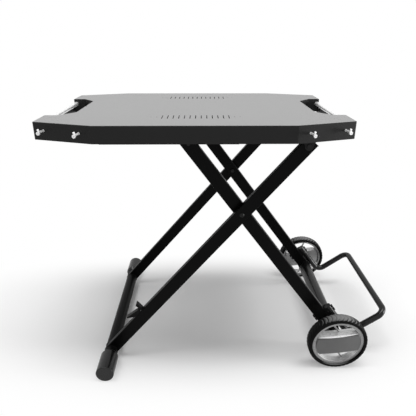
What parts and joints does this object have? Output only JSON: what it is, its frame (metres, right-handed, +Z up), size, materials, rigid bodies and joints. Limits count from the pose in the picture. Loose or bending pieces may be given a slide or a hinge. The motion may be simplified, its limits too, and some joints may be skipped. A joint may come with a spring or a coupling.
{
  "type": "folding oven table",
  "caption": "Folding steel table for an outdoor oven, with crossed legs, wheels on one side, hand openings with grip bars at both ends and a bent stand tube.",
  "frame": {"origin": "on the floor, at the middle of the whole outline in plan", "axes": "+X along the table towards the wheels, +Y to the far side, +Z up; the near side with the hooks faces -Y"},
  "size_m": [1.1178, 0.692, 0.842],
  "materials": {
    "top_steel": "satin",
    "leg_steel": "satin",
    "inner_steel": "satin",
    "chrome": "polished",
    "zinc": "satin",
    "black_steel": "satin",
    "black_plastic": "matte",
    "spring": "satin",
    "tyre": "matte",
    "rim": "satin",
    "plate": "satin",
    "nylon": "matte"
  },
  "bodies": {
    "table": {"table_top": "top_steel", "grip_bar_left": "chrome", "grip_bar_right": "chrome", "grip_screws": "zinc", "rib_left": "inner_steel", "rib_right": "inner_steel", "slide_rail_near": "inner_steel", "slide_rail_far": "inner_steel", "slide_clip_near": "spring", "slide_clip_far": "spring", "hinge_bracket_near": "inner_steel", "hinge_bracket_far": "inner_steel", "hinge_pins": "black_steel", "tool_hooks": "chrome", "hook_nuts": "zinc"},
    "outer_legs": {"outer_leg_near": "leg_steel", "outer_leg_far": "leg_steel", "outer_leg_plugs": "black_plastic", "foot_tube": "leg_steel", "foot_cap_near": "black_plastic", "foot_cap_far": "black_plastic", "fold_catch": "black_plastic", "catch_rivets": "zinc", "pivot_bolts": "black_steel", "pivot_nuts": "black_steel", "pivot_washers": "nylon"},
    "inner_legs": {"inner_leg_near": "leg_steel", "inner_leg_far": "leg_steel", "inner_leg_plugs": "black_plastic", "axle_tube": "leg_steel", "slide_rod": "black_steel", "stand_rod": "leg_steel", "stand_saddles": "black_plastic", "stand_bolts": "black_steel", "stand_nuts": "black_steel", "axle_rod": "zinc", "axle_plugs": "nylon", "axle_washers": "zinc", "axle_nuts": "zinc"},
    "wheel_near": {"tyre_near": "tyre", "wheel_rim_near": "rim", "wheel_plate_near": "plate", "hub_bush_near": "nylon"},
    "wheel_far": {"tyre_far": "tyre", "wheel_rim_far": "rim", "wheel_plate_far": "plate", "hub_bush_far": "nylon"}
  },
  "joints": [
    {"name": "leg_fold", "type": "hinge", "parent": "table", "child": "outer_legs", "pos_m": [0.21585, 0, 0.769], "axis": [0, 1, 0], "range_deg": [0, 49.6]},
    {"name": "leg_cross", "type": "hinge", "parent": "outer_legs", "child": "inner_legs", "pos_m": [0.03051, 0, 0.55119], "axis": [0, 1, 0], "range_deg": [-103.15, 0]},
    {"name": "wheel_near_spin", "type": "hinge", "parent": "inner_legs", "child": "wheel_near", "pos_m": [0.3639, 0, 0.1], "axis": [0, 1, 0], "continuous": true},
    {"name": "wheel_far_spin", "type": "hinge", "parent": "inner_legs", "child": "wheel_far", "pos_m": [0.3639, 0, 0.1], "axis": [0, 1, 0], "continuous": true}
  ],
  "couplings": [
    {"joint": "leg_cross", "follows": "leg_fold", "ratio": -2.0793}
  ]
}
